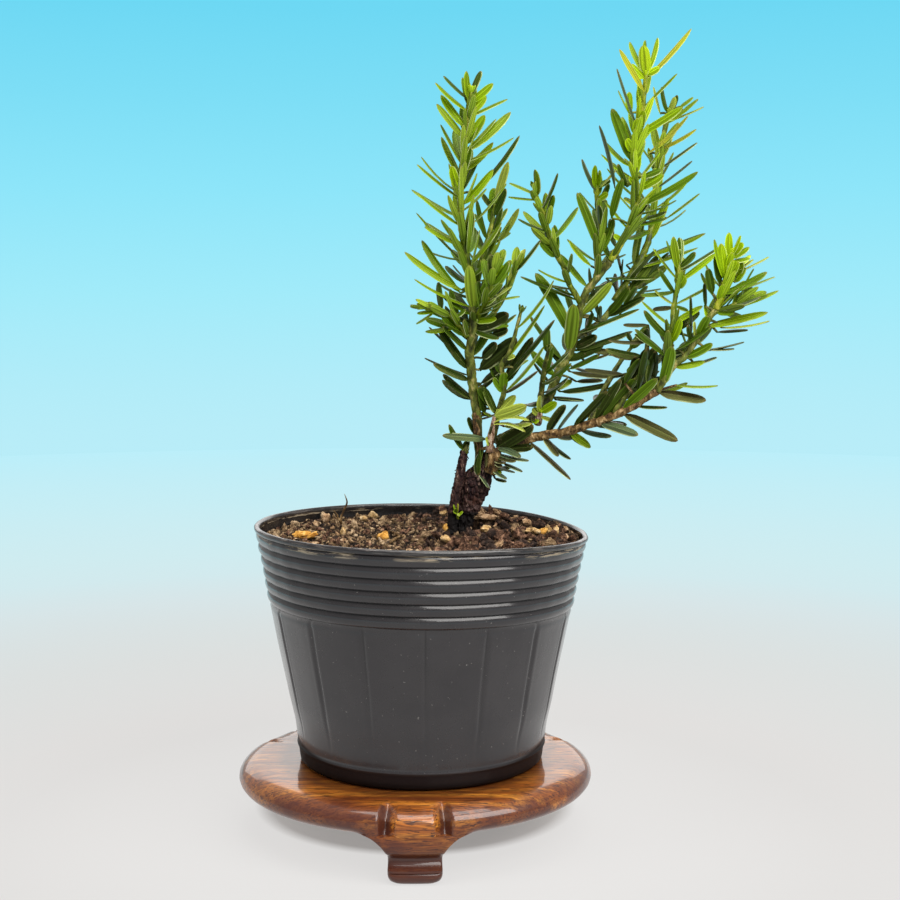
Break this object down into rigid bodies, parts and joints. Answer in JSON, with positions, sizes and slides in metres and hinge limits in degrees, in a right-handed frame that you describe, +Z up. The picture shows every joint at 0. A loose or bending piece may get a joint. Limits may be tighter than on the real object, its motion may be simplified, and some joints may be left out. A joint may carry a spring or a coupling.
{
  "type": "potted dwarf yew bonsai",
  "caption": "Young dwarf Japanese yew with a forked trunk and needle-covered shoots in a round ribbed plastic pot of soil, standing on a low round wooden display stand.",
  "frame": {"origin": "middle of the whole part's box, at the undersides of the stand's feet", "axes": "+Z up along the pot's axis, +X to the right as the plant is seen from its front, +Y away from the viewer; the pot's axis is 15.9 mm left of the origin"},
  "size_m": [0.1054, 0.0712, 0.1605],
  "materials": {
    "stand_wood": "glossy lacquered red-brown wood with fine dark grain",
    "pot_plastic": "thin dark charcoal plastic, half gloss, with light lime streaks under the lip",
    "soil": "crumbly dark brown potting soil with a few tan grains",
    "bark": "flaking dark purple-brown bark",
    "young_bark": "scaly brown to olive young bark",
    "needles": "dark glossy needles with paler undersides",
    "young_needles": "yellow-green new needles"
  },
  "bodies": {
    "root": {"leaves_left_low": "needles", "leaves_left_stem": "needles", "leaves_node": "needles", "leaves_right_tip": "needles", "leaves_top": "young_needles", "leaves_under_bough": "young_bark", "leaves_under_tip": "needles", "left_bough": "young_bark", "left_stem": "bark", "mass_back_branch": "needles", "mass_right_inner": "needles", "mass_right_low": "needles", "mass_right_tip": "young_needles", "middle_bough": "young_bark", "pot": "pot_plastic", "right_bough": "young_bark", "soil": "soil", "spire_back": "needles", "spire_fork": "needles", "spire_leaning": "needles", "spire_left_low": "needles", "spire_left_top": "young_needles", "spire_tall_low": "needles", "spire_tall_top": "young_needles", "spire_upright": "needles", "stand_board": "stand_wood", "stand_foot_front": "stand_wood", "stand_foot_left": "stand_wood", "stand_foot_right": "stand_wood", "tall_bough": "young_bark", "trunk": "bark", "tuft_inner_low": "needles", "tuft_left_back": "needles", "tuft_left_front": "needles", "tuft_left_outer": "needles", "tuft_left_side": "needles", "tuft_middle": "needles", "tuft_pale": "young_needles", "tuft_right_back": "needles"}
  },
  "joints": []
}
